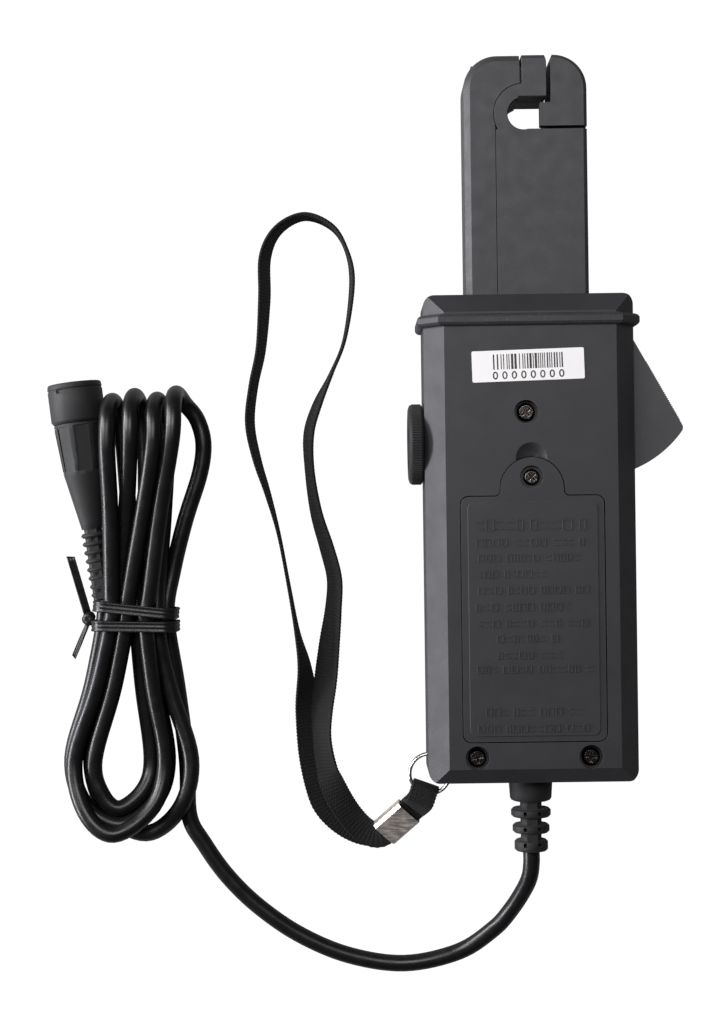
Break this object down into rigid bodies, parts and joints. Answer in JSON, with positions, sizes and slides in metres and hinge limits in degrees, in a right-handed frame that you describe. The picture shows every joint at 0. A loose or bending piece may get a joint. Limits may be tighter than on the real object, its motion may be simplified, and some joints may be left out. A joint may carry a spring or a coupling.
{
  "type": "clamp-on current probe",
  "caption": "Hand-held clamp-on current probe: trigger-opened jaw, zero knob, battery door, tied output cable with shrouded bayonet plug, and wrist strap.",
  "frame": {"origin": "centre of the jaw aperture, half way through the jaw's thickness", "axes": "+Y from the case to the jaw tip, +Z out of the back of the case along the aperture's axis, +X to the trigger's side seen from the back"},
  "size_m": [0.2053, 0.2964, 0.0372],
  "materials": {
    "case_plastic": "fine moulded texture",
    "jaw_plastic": "fine moulded texture",
    "soft_rubber": "satin",
    "cable_pvc": "glossy",
    "black_screw": "black oxide",
    "steel": "bright",
    "nickel": "polished nickel",
    "label": "printed paper film",
    "ferrite": "sintered",
    "board": "solder mask",
    "component": "moulded",
    "wire_red": "wire insulation",
    "lamp_red": "clear lens",
    "battery_wrap": "printed can",
    "white_insulator": "turned",
    "gold": "gold plated",
    "webbing": "woven nylon",
    "tie_vinyl": "vinyl"
  },
  "bodies": {
    "case": {"rear_shell": "case_plastic", "front_shell": "case_plastic", "case_screws": "black_screw", "serial_label": "label", "jaw_spine": "jaw_plastic", "jaw_rear_plate": "jaw_plastic", "jaw_front_plate": "jaw_plastic", "jaw_screws": "black_screw", "fixed_core": "ferrite", "hall_sensor": "component", "sensor_wires": "wire_red", "pivot_pin": "steel", "return_spring": "steel", "zero_pot": "steel", "circuit_board": "board", "board_components": "component", "range_switch": "steel", "power_lamp": "lamp_red", "battery": "battery_wrap", "battery_snap": "component", "strain_relief": "soft_rubber", "cable": "cable_pvc", "plug_boot": "soft_rubber", "plug_sleeve": "nickel", "plug_insulator": "white_insulator", "plug_pin": "gold", "twist_tie": "tie_vinyl"},
    "lever": {"moving_jaw": "jaw_plastic", "moving_core": "ferrite", "trigger": "jaw_plastic", "trigger_screws": "steel"},
    "zero_knob": {"zero_knob": "soft_rubber"},
    "battery_door": {"battery_cover": "case_plastic", "cover_screw": "black_screw"},
    "range_slider": {"switch_slider": "soft_rubber"},
    "plug_nut": {"plug_coupling": "soft_rubber"},
    "lanyard": {"split_ring": "nickel", "strap_crimp": "nickel", "ring_loop": "webbing", "wrist_strap": "webbing"}
  },
  "joints": [
    {"name": "jaw_open", "type": "hinge", "parent": "case", "child": "lever", "pos_m": [0.021, -0.0807, 0], "axis": [0, 0, -1], "range_deg": [0, 9], "stiffness_Nm_per_rad": 0.4, "deforming": ["return_spring"]},
    {"name": "zero_turn", "type": "hinge", "parent": "case", "child": "zero_knob", "pos_m": [-0.0328, -0.1045, 0], "axis": [-1, 0, 0], "range_deg": [-140, 140]},
    {"name": "door_open", "type": "hinge", "parent": "case", "child": "battery_door", "pos_m": [0.0006, -0.1989, 0.0165], "axis": [1, 0, 0], "range_deg": [0, 75]},
    {"name": "range_slide", "type": "slide", "parent": "case", "child": "range_slider", "axis": [0, 1, 0], "range_m": [-0.002, 0.002]},
    {"name": "plug_turn", "type": "hinge", "parent": "case", "child": "plug_nut", "pos_m": [-0.14674, -0.08269, -0.0091], "axis": [-0.1167, 0.9932, 0], "range_deg": [0, 90]},
    {"name": "strap_swing", "type": "hinge", "parent": "case", "child": "lanyard", "pos_m": [-0.032, -0.2113, -0.004], "axis": [0, 0, 1], "range_deg": [-3, 3]}
  ]
}
